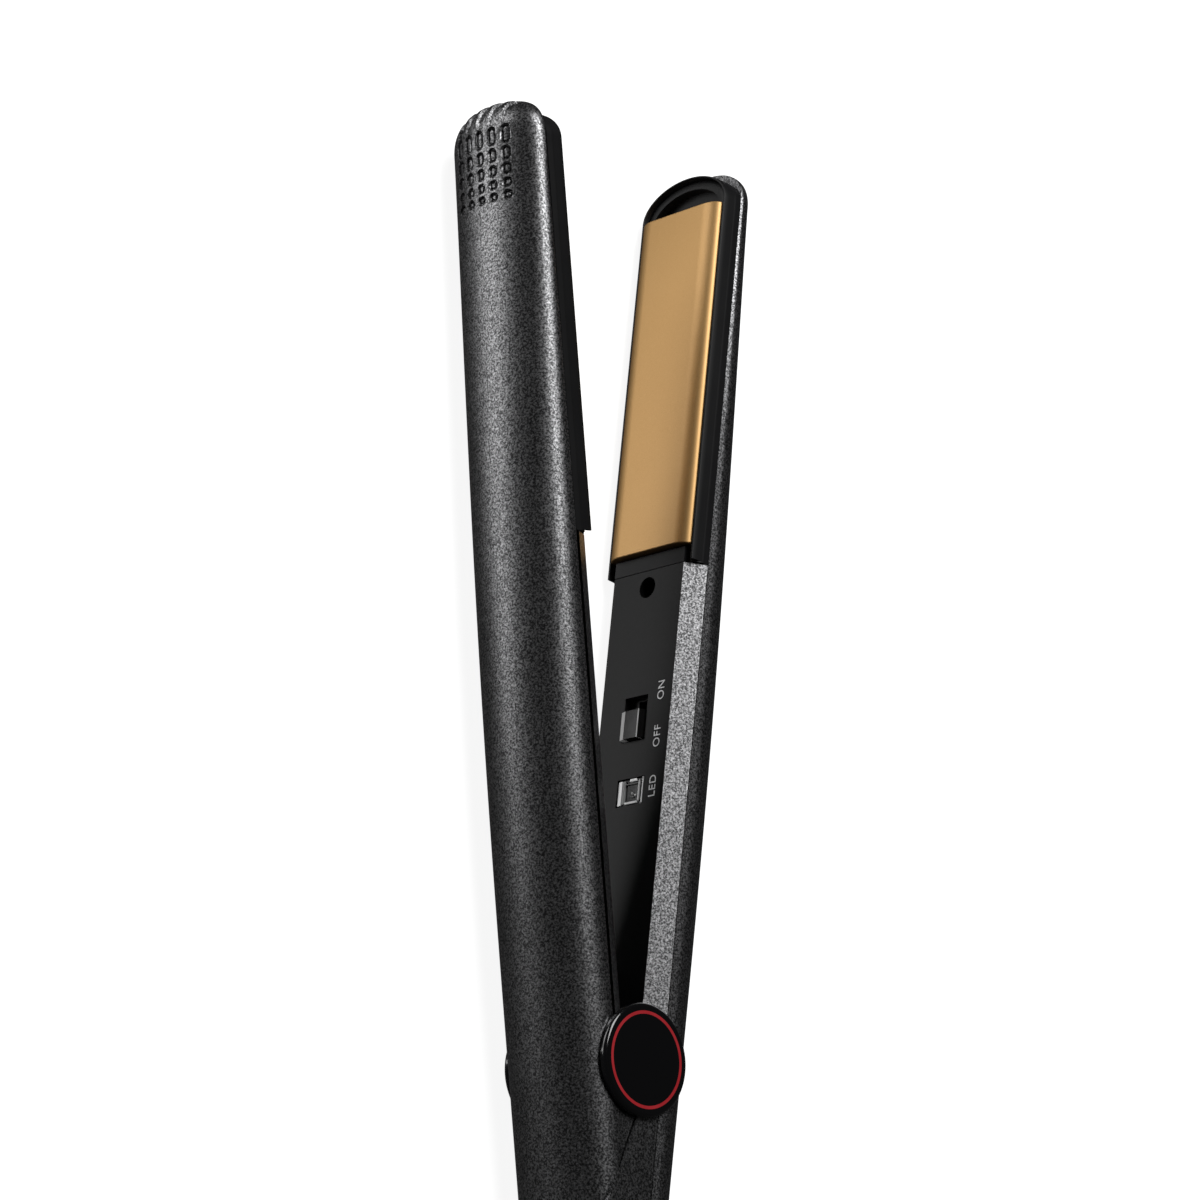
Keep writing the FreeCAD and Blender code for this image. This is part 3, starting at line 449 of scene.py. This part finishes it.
def mesh_piece(name, points, faces, body, slot):
    """A mesh from points and faces: doubles are welded, normals turned outwards, and only
    edges sharper than SHARP are left hard; the piece then rides on its body."""
    mesh = bpy.data.meshes.new(name)
    mesh.from_pydata(points.reshape(-1, 3), [], faces)
    form = bmesh.new()
    form.from_mesh(mesh)
    bmesh.ops.remove_doubles(form, verts=form.verts, dist=WELD)
    bmesh.ops.dissolve_degenerate(form, edges=form.edges, dist=WELD)
    bmesh.ops.recalc_face_normals(form, faces=form.faces)
    form.to_mesh(mesh)
    form.free()
    mesh.shade_smooth()
    mesh.set_sharp_from_angle(angle=SHARP)
    thing = bpy.data.objects.new(name, mesh)
    bpy.context.scene.collection.objects.link(thing)
    dress(thing, finishes[slot])
    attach(thing, body)
    return thing


def walled(name, outside, inside, body, slot):
    """A closed sheet between two grids of the same shape."""
    rows, columns, _ = outside.shape
    cells = quads(rows, columns)
    backs = cells[:, ::-1] + rows * columns
    faces = np.concatenate([cells, backs, rim(rows, columns)]).tolist()
    return mesh_piece(name, np.stack([outside, inside]), faces, body, slot)


# %% [markdown]
# ## The outer shells
#
# On the real iron these are the two long charcoal halves, moulded with a domed back and a
# rounded nose. Along the arm the height of the back changes gently, so a smooth curve is
# run through its height at a few places. Across the arm the section has two short flat
# sides and half an ellipse. Past `NOSE` the section shrinks as a quarter of a squarish
# ellipse does, which rounds the nose in plan and in profile alike.

# %% Shell measures
HALF_WIDTH = 14.2
WALL = 2.0
FOOT = 7.1                 # lower edge of a shell, above the plane of the closed arms
FACE = 2.0                 # the flat inner face
NOSE = 205.5
NOSE_LENGTH = 10.0
SQUARENESS = 2.5           # 2 would round the nose as an ellipse, more makes it squarer
STATIONS = np.array([      # along, half width, end of the flat side, height of the back
    (-34.0, 14.2, 9.2, 18.4),
    (30.0, 14.2, 9.2, 19.4),
    (90.0, 14.2, 9.2, 19.0),
    (150.0, 14.2, 8.4, 17.0),
    (NOSE, 14.0, 7.6, 14.6),
])
TAIL_END = (-62.0, 9.4, 7.5, 11.0)
DRAFT = 0.3                # the flat sides lean in by this much, so that the mould lets go
SEAM_ALONG = -10.4
SEAM_SLOPE = math.tan(math.radians(30.7))
COVER_REAR = -9.5
FIT_UNIT = 100.0           # lengths are divided by this, which keeps a curve's terms small


def section_at(along):
    """Half width, end of the flat side and height of the back: one curve of the fourth
    degree through the five stations, and a straight taper behind the first of them."""
    places = STATIONS[:, 0]
    clipped = np.clip(along, places[0], places[-1]) / FIT_UNIT
    values = [np.polyval(np.polyfit(places / FIT_UNIT, STATIONS[:, column], 4), clipped)
              for column in (1, 2, 3)]
    values[0] = np.minimum(values[0], HALF_WIDTH)
    taper = np.clip((places[0] - along) / (places[0] - TAIL_END[0]), 0, 1)
    return [value * (1 - taper) + end * taper for value, end in zip(values, TAIL_END[1:])]


def half_arch(along, foot, turn, inset):
    """One point of the shell per row and column. turn runs from -1 to 181 degrees: up to 0
    and past 180 it climbs the flat sides from the foot, between them it follows the
    ellipse, and a foot above the flat side cuts the ellipse off at its own height."""
    half, shoulder, back = section_at(along)
    over = np.clip((along - NOSE) / NOSE_LENGTH, 0, 1)
    shrink = (1 - over ** SQUARENESS) ** (1 / SQUARENESS)
    reach = along - inset * over
    half, rise = (half - inset) * shrink, (back - inset - shoulder) * shrink
    cut = np.arcsin(np.clip((foot - shoulder) / np.maximum(rise, 1e-6), 0, 1))
    inside_turn = np.clip(turn, 0, 180) / 180
    angle = cut + (np.pi - 2 * cut) * inside_turn
    climb = np.where(turn < 0, 1 + turn, np.where(turn > 180, 181 - turn, 1))
    low = np.minimum(foot, shoulder)
    out = np.where(climb < 1, low + (shoulder - low) * climb,
                   shoulder + rise * np.sin(angle))
    lean = np.clip((shoulder - out) / (shoulder - FOOT + 0.01), 0, 1) * DRAFT * (1 - over)
    return reach, out, half * np.cos(angle) - lean * np.sign(90 - turn)


# %% [markdown]
# ## The vents
#
# Five rows of dimples let warm air out of the nose. Each dimple is a moat around a low
# pill, and past the last one the row runs on over the nose as a groove. All of it is one
# depth worked out from the distance to the nearest pill or groove, and the shell's outside
# is pushed in along its own normal by that depth.

# %% Vent depth
ROW_PITCH = 3.7
ROW_COUNT = 5
PILL_LENGTHS = (4.5, 3.4, 2.9, 2.5, 2.1)     # shorter towards the hinge
PILL_GAP = 0.5
VENT_FRONT = 208.6
VENT_HALF = 1.2
MOAT = 0.62
DEPTH = 0.78
PILL_DROP = 0.22
ROUNDNESS = 0.92           # 1 would round a dimple's corners fully
MOAT_BANK = 0.24           # how far a moat's outer bank reaches inwards
PILL_BANK = (MOAT - 0.16, MOAT + 0.14)
GROOVE_BANK = 0.3
GROOVE_RISE = (VENT_FRONT + 0.2, VENT_FRONT + 0.9)
GROOVE_DEPTH = 0.9         # as a share of DEPTH


def eased(value, start, end):
    """0 below start, 1 above end, and a smooth rise between them."""
    share = np.clip((value - start) / (end - start), 0, 1)
    return share * share * (3 - 2 * share)


def vent_depth(along, across):
    """Depth in millimetres. The distance from a rounded box is the length of what is left
    of the offset past the box's straight part, less its corner radius; the moat lies where
    that distance is between minus MOAT and 0."""
    row = np.clip(np.round(across / ROW_PITCH), -(ROW_COUNT // 2), ROW_COUNT // 2)
    offset = np.abs(across - row * ROW_PITCH)
    depth = np.zeros(np.broadcast(along, across).shape)
    front = VENT_FRONT
    for length in PILL_LENGTHS:
        corner = min(length / 2, VENT_HALF) * ROUNDNESS
        past_end = np.maximum(np.abs(along - front + length / 2) - length / 2 + corner, 0)
        past_side = np.maximum(offset - VENT_HALF + corner, 0)
        distance = np.hypot(past_end, past_side) - corner
        moat = eased(-distance, 0.0, MOAT_BANK) * DEPTH
        pill = eased(-distance, *PILL_BANK) * (DEPTH - PILL_DROP)
        depth = np.maximum(depth, moat - pill)
        front -= length + PILL_GAP
    groove = eased(VENT_HALF - offset, 0.0, GROOVE_BANK) * eased(along, *GROOVE_RISE)
    return np.maximum(depth, groove * DEPTH * GROOVE_DEPTH)


def pressed(points, depth):
    """Push a grid of points in along its normals, the cross product of its two slopes."""
    down, over = np.gradient(points, axis=0), np.gradient(points, axis=1)
    normal = np.cross(down, over)
    length = np.linalg.norm(normal, axis=-1, keepdims=True)
    normal = normal / np.maximum(length, 1e-12)
    return points + normal * depth[..., None] * MM


# %% Shell rows and columns
VENTED_SHARE = 0.69        # the share of the half width that has vents
VENT_COLUMNS, SIDE_COLUMNS = 104, 14
GRIP_ROWS, VENT_ROWS, NOSE_ROWS, TAIL_ROWS, SEAM_ROWS = 74, 78, 66, 12, 40
VENTS_FROM, VENTS_FULL = 7.7, 8.4     # heights between which the vents fade in
TIP_GAP = 0.02                        # the very tip stays unpressed
SEAM_GAP = 0.05                       # the seam's wedge stops this short of its apex


def shell_turns():
    """Columns: coarse up the sides, close together where the vents are."""
    edge = math.degrees(math.acos(VENTED_SHARE))
    fine = np.linspace(edge, 180 - edge, VENT_COLUMNS)
    coarse = np.linspace(0, edge, SIDE_COLUMNS)[:-1]
    return np.concatenate([[-1, -0.66, -0.33], coarse, fine, 180 - coarse[::-1],
                           [180.33, 180.66, 181]])


def shell_rows(start):
    """Rows from start to the tip: coarse along the grip, close together at the vents, and
    even steps of the quarter turn over the nose."""
    vents_start = VENT_FRONT - sum(PILL_LENGTHS) - len(PILL_LENGTHS) * PILL_GAP - 1
    grip = np.linspace(start, vents_start, GRIP_ROWS)[:-1]
    vents = np.linspace(vents_start, NOSE, VENT_ROWS)[:-1]
    quarter = np.linspace(0, np.pi / 2, NOSE_ROWS)
    nose = NOSE + NOSE_LENGTH * np.sin(quarter) ** (2 / SQUARENESS)
    return np.concatenate([grip, vents, nose])


def shell_grids(arm, rows, feet, inset):
    turns = shell_turns()[None, :]
    along, out, across = half_arch(rows[:, None], feet[:, None], turns, inset)
    along, out, across = np.broadcast_arrays(along, out, across)
    points = place_on_arm(arm, along, out, across)
    return points, along, out, across


def outer_shell(arm, rows, feet, cap):
    """Outside pressed by the vents, inside moved in by the wall, and a capped tail if cap."""
    outside, along, out, across = shell_grids(arm, rows, feet, 0.0)
    on_dome = eased(out, VENTS_FROM, VENTS_FULL) * (along < NOSE + NOSE_LENGTH - TIP_GAP)
    depth = vent_depth(along, across) * on_dome
    outside = pressed(outside, depth * -SIDES[arm])
    inner_rows = np.where(rows > rows[0], rows, rows[0] + WALL * cap)
    inside, *_ = shell_grids(arm, inner_rows, feet, WALL)
    if cap:
        columns = outside.shape[1]
        ends = [place_on_arm(arm, np.full((1, columns), rows[0] + shift), FOOT, 0.0)
                for shift in (0.0, WALL)]
        outside = np.concatenate([ends[0], outside])
        inside = np.concatenate([ends[1], inside])
    name = f"{arm}_shell"
    shell = walled(name, outside, inside, f"{arm}_arm", "shell_paint")
    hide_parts(f"{arm}_outer_shell")
    print(name, len(shell.data.polygons), "faces, vents",
          round(float(depth.max()), 2), "mm deep")


lower_rows = np.concatenate([np.linspace(TAIL_END[0], STATIONS[0, 0], TAIL_ROWS)[:-1],
                             shell_rows(STATIONS[0, 0])])
outer_shell("lower", lower_rows, np.full(len(lower_rows), FOOT), cap=True)

wedge_end = SEAM_ALONG - (STATIONS[0, 3] - FACE) / SEAM_SLOPE + SEAM_GAP
wedge = np.linspace(wedge_end, SEAM_ALONG, SEAM_ROWS)
behind = np.concatenate([wedge, [COVER_REAR]])
behind_feet = FACE + np.maximum(SEAM_ALONG - behind, 0) * SEAM_SLOPE
front = shell_rows(COVER_REAR)
upper_rows = np.concatenate([behind, front])
upper_feet = np.concatenate([behind_feet, np.full(len(front), FOOT)])
outer_shell("upper", upper_rows, upper_feet, cap=False)

# %% [markdown]
# ## The heated plates
#
# Each plate is a flat bar of anodised aluminium whose long edges are rolled over, wider
# than they are deep, so that hair slides off them. Its section is drawn once, as a quarter
# of an ellipse on either side of the flat face, and drawn out along the arm; the last
# tenths of a millimetre at both ends are drawn in, which breaks the sharp end edges.

# %% Plates
PLATE_START, PLATE_LENGTH = 119.6, 84.8
PLATE_HALF, PLATE_FACE, PLATE_BACK = 12.7, 0.05, 3.25
ROLL_WIDTH, ROLL_DEPTH = 4.4, 2.4
ROLL_STEPS, BREAK_STEPS = 15, 6
BREAK = 0.35               # radius of the broken end edges
END_INSET = 1.59           # the end faces are rings that close to a slot this far in


def plate_section(inset):
    """Out and across round the plate: cosine and sine quarters for the rolled edges."""
    turn = np.linspace(0, np.pi / 2, ROLL_STEPS)
    edge_across = PLATE_HALF - ROLL_WIDTH + ROLL_WIDTH * np.cos(turn)
    edge_out = PLATE_FACE + ROLL_DEPTH - ROLL_DEPTH * np.sin(turn)
    out = np.concatenate([[PLATE_BACK], edge_out, edge_out[::-1], [PLATE_BACK]])
    across = np.concatenate([[PLATE_HALF], edge_across, -edge_across[::-1], [-PLATE_HALF]])
    middle = (PLATE_FACE + PLATE_BACK) / 2
    shrink_out = 1 - inset / (middle - PLATE_FACE)
    shrink_across = 1 - inset / PLATE_HALF
    return middle + (out - middle) * shrink_out, across * shrink_across


def heated_plate(arm):
    steps = np.linspace(0, np.pi / 2, BREAK_STEPS)
    insets = np.concatenate([[END_INSET], BREAK * (1 - np.sin(steps))])
    starts = np.concatenate([[0], BREAK * (1 - np.cos(steps))])
    rows = np.concatenate([starts, PLATE_LENGTH - starts[::-1]])
    depths = np.concatenate([insets, insets[::-1]])
    sections = [plate_section(inset) for inset in depths]
    out = np.array([section[0] for section in sections])
    across = np.array([section[1] for section in sections])
    points = place_on_arm(arm, PLATE_START + rows[:, None], out, across)
    points = np.concatenate([points, points[:, :1]], axis=1)
    plate = mesh_piece(f"{arm}_gold_plate", points, tube(*points.shape[:2]),
                       f"{arm}_plate_float", "plate_anodised")
    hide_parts(f"{arm}_plate")
    return plate


print("plates:", [heated_plate(arm).name for arm in SIDES])

# %% [markdown]
# ## The wall round each plate
#
# The carrier holds its plate in a thin black wall that runs up one side, round the nose and
# down the other. Its section is swept along that path: straight sides, then half an ellipse
# whose two radii shrink with the section's own distance from the middle.

# %% Carrier walls
WALL_START = 115.9
CARRIER_NOSE = 8.4
CARRIER_HALF = 13.9
WALL_STEPS = 60            # steps of the half turn round the nose
WALL_SECTION = np.array([      # out, across: up the inside, over the top, down the outside
    (4.4, 13.03), (2.15, 13.03), (2.03, 13.09), (2.0, 13.18), (2.0, 13.42),
    (2.04, 13.53), (2.2, 13.6), (3.4, 13.72), (5.2, 13.86),
])


def carrier_wall(arm):
    """Places on the path from one end to the other, times the points of the section."""
    half_turn = np.linspace(-np.pi / 2, np.pi / 2, WALL_STEPS)
    turn = np.concatenate([half_turn[:1], half_turn, half_turn[-1:]])[:, None]
    straight = np.zeros(len(turn))
    straight[[0, -1]] = WALL_START - NOSE
    out, reach = WALL_SECTION[:, 0][None, :], WALL_SECTION[:, 1][None, :]
    along = NOSE + straight[:, None] + CARRIER_NOSE * reach / CARRIER_HALF * np.cos(turn)
    across = reach * np.sin(turn)
    points = place_on_arm(arm, along, np.broadcast_to(out, along.shape), across)
    points = np.concatenate([points, points[:, :1]], axis=1)
    wall = mesh_piece(f"{arm}_carrier_wall", points, tube(*points.shape[:2]), f"{arm}_arm",
                      "carrier_plastic")
    return wall.name


print("carrier walls:", [carrier_wall(arm) for arm in SIDES])

# %% [markdown]
# ## Switch knob and lamp lens
#
# Both are small glossy mouldings with facets that catch the light, and that light is
# painted: the knob's pale facets along its sides are painted highlights, and the bright bars
# round the clear lens's dark pocket are painted reflections in its polished edges. They are
# built from slim bars, and a `tone` on each face says how pale it is painted.

# %% Knob and lens
BOX_SIDES = [(0, 3, 2, 1), (4, 5, 6, 7), (0, 1, 5, 4), (1, 2, 6, 5), (2, 3, 7, 6), (3, 0, 4, 7)]


def bars(name, boxes, body, slot):
    """Slim bars on the lower arm: ends along, sides across, foot, height at either side and
    tone, the painted highlight of its faces. A bar whose two heights differ has a sloping top."""
    points, faces, painted_highlights = [], [], []
    for start, end, left, right, foot, left_top, right_top, tone in boxes:
        first = len(points)
        points += [(a, o, c) for a in (start, end) for o, c in
                   ((foot, left), (foot, right), (right_top, right), (left_top, left))]
        faces += [[first + corner for corner in side] for side in BOX_SIDES]
        painted_highlights += [tone] * len(BOX_SIDES)
    along, out, across = np.array(points, dtype=float).T
    mesh = bpy.data.meshes.new(name)
    mesh.from_pydata(place_on_arm("lower", along, out, across).tolist(), [], faces)
    # the tone of each face is kept as an attribute: its painted highlight
    layer = mesh.attributes.new("tone", "FLOAT", "FACE")
    layer.data.foreach_set("value", painted_highlights)
    form = bmesh.new()
    form.from_mesh(mesh)
    bmesh.ops.recalc_face_normals(form, faces=form.faces)
    form.to_mesh(mesh)
    form.free()
    thing = bpy.data.objects.new(name, mesh)
    bpy.context.scene.collection.objects.link(thing)
    dress(thing, finishes[slot])
    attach(thing, body)
    return thing


KNOB_START, KNOB_END = 75.1, 81.7
# the tone is a painted highlight: the pale facet and the thin bright line stand for light that the black gloss
# knob catches
KNOB_BARS = [      # start, end, left, right, foot, top at left, top at right, tone
    (KNOB_START, KNOB_END, -3.3, -1.8, 3.9, 1.05, 0.6, 0.75),
    (KNOB_START, KNOB_END, -1.8, 2.3, 3.9, 0.6, 0.6, 0.0),
    (KNOB_START, KNOB_END, 2.3, 2.55, 3.9, 0.55, 0.55, 0.9),
    (KNOB_START, KNOB_END, 2.55, 3.3, 3.9, 0.65, 1.5, 0.0),
]
knob = bars("slide_knob", KNOB_BARS, "switch", "knob_gloss")
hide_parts("switch_knob")
# the same columns; the pale tones are painted reflections in the lens's polished edges
LENS_BARS = [
    (59.75, 66.05, -3.55, 4.75, 3.8, 2.55, 2.55, 0.0),
    (60.1, 65.7, -3.5, -2.2, 2.6, 2.35, 2.05, 1.0),
    (60.3, 65.6, -1.75, -1.55, 2.6, 2.1, 2.1, 0.35),
    (60.3, 65.6, -1.35, -1.15, 2.6, 2.1, 2.1, 0.25),
    (60.6, 65.4, 3.05, 3.3, 2.6, 2.1, 2.1, 0.6),
    (60.0, 65.9, 4.25, 4.6, 2.6, 2.05, 2.05, 0.75),
    (65.3, 65.85, 0.3, 2.4, 2.6, 2.05, 2.05, 1.0),
    (60.15, 60.6, -0.9, 2.9, 2.6, 2.1, 2.1, 0.75),
    (64.7, 64.85, -1.1, 3.0, 2.6, 2.15, 2.15, 0.12),
    (61.9, 62.25, 1.9, 2.3, 2.6, 2.2, 2.2, 0.7),
    (62.3, 62.8, 0.9, 1.3, 2.6, 2.2, 2.2, 0.35),
    (61.6, 61.8, 0.9, 1.6, 2.6, 2.2, 2.2, 0.15),
]
lens_piece = bars("lamp_lens", LENS_BARS, "lower_arm", "lens_clear")
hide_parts("led_lens")
print("bars:", len(KNOB_BARS), "in the knob,", len(LENS_BARS), "in the lens")

# %% [markdown]
# ## The lettering by the switch
#
# Only plain words are printed beside the switch and the lamp. They are pad printed, which
# leaves a film of white ink: text made into a thin mesh and laid on the flat inner face, so
# that it reads from the hinge towards the tip.

# %% Printed words
INK = 0.03                 # how far the ink stands above the plastic
LETTER_HEIGHT = 2.1
TYPE_SIZE = 1.38           # size of the type for letters of height 1
LETTER_SPACE = 1.08
WORDS = {"ON": 83.3, "OFF": 72.2, "LED": 60.6}     # where each word starts along the arm
WORD_FOOT = 8.6                                    # baseline, from the middle of the arm


def white_ink():
    """Opaque white ink, slightly uneven where the pad pressed it."""
    finish = Finish("white_ink")
    patchy = finish.ramp(finish.noise(0.3), 0.25, 0.6)
    finish.set(base_color=finish.mix(patchy, (0.55, 0.55, 0.56), (0.85, 0.85, 0.86)),
               roughness=patchy * 0.1 + 0.45)
    return finish.material


finishes["white_ink"] = white_ink()
ink_words = []
for word, start in WORDS.items():
    text = bpy.data.curves.new(f"word_{word}", "FONT")
    text.body = word
    text.size = LETTER_HEIGHT * TYPE_SIZE
    text.extrude = INK / 2
    text.space_character = LETTER_SPACE
    flat = bpy.data.objects.new(f"word_{word}", text)
    mesh = bpy.data.meshes.new_from_object(flat)
    bpy.data.objects.remove(flat)
    corners = np.empty(len(mesh.vertices) * 3)
    mesh.vertices.foreach_get("co", corners)
    right, up, lift = corners.reshape(-1, 3).T
    placed = place_on_arm("lower", start + right, FACE - INK / 2 - lift, WORD_FOOT - up)
    mesh.vertices.foreach_set("co", placed.ravel())
    mesh.update()
    thing = bpy.data.objects.new(f"print_{word.lower()}", mesh)
    bpy.context.scene.collection.objects.link(thing)
    dress(thing, finishes["white_ink"])
    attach(thing, "lower_arm")
    ink_words.append(thing.name)
print("printed:", ink_words)

# %% [markdown]
# ## The floor
#
# A plain pale sheet that glows a little, so that the shadows on it stay faint. It is hidden
# from mirror images and casts nothing, so that the low softbox can shine from beneath it.

# %% Floor
FLOOR_REACH = 3.0
ROOM_GREY, SEEN_GREY = 0.03, 0.9      # what lights the object, and what the camera sees

floor_mesh = bpy.data.meshes.new("floor")
corners = [(x * FLOOR_REACH, y * FLOOR_REACH, 0)
           for x, y in ((-1, -1), (1, -1), (1, 1), (-1, 1))]
floor_mesh.from_pydata(corners, [], [(0, 1, 2, 3)])
floor = bpy.data.objects.new("floor", floor_mesh)
floor.visible_glossy = False
floor.visible_shadow = False
bpy.context.scene.collection.objects.link(floor)
pale = Finish("pale_floor", base_color=(0.5, 0.5, 0.5), roughness=0.9, specular_ior_level=0.1,
              emission_color=(1.0, 1.0, 1.0), emission_strength=0.9)
dress(floor, pale.material)

world = bpy.data.worlds.new("room")
world.use_nodes = True
room = world.node_tree
sight = room.nodes.new("ShaderNodeLightPath")
dark, light = room.nodes["Background"], room.nodes.new("ShaderNodeBackground")
dark.inputs["Color"].default_value = (ROOM_GREY, ROOM_GREY, ROOM_GREY, 1)
light.inputs["Color"].default_value = (SEEN_GREY, SEEN_GREY, SEEN_GREY, 1)
blend = room.nodes.new("ShaderNodeMixShader")
room.links.new(sight.outputs["Is Camera Ray"], blend.inputs[0])
room.links.new(dark.outputs[0], blend.inputs[1])
room.links.new(light.outputs[0], blend.inputs[2])
room.links.new(blend.outputs[0], room.nodes["World Output"].inputs["Surface"])
bpy.context.scene.world = world
print("floor and room are set")
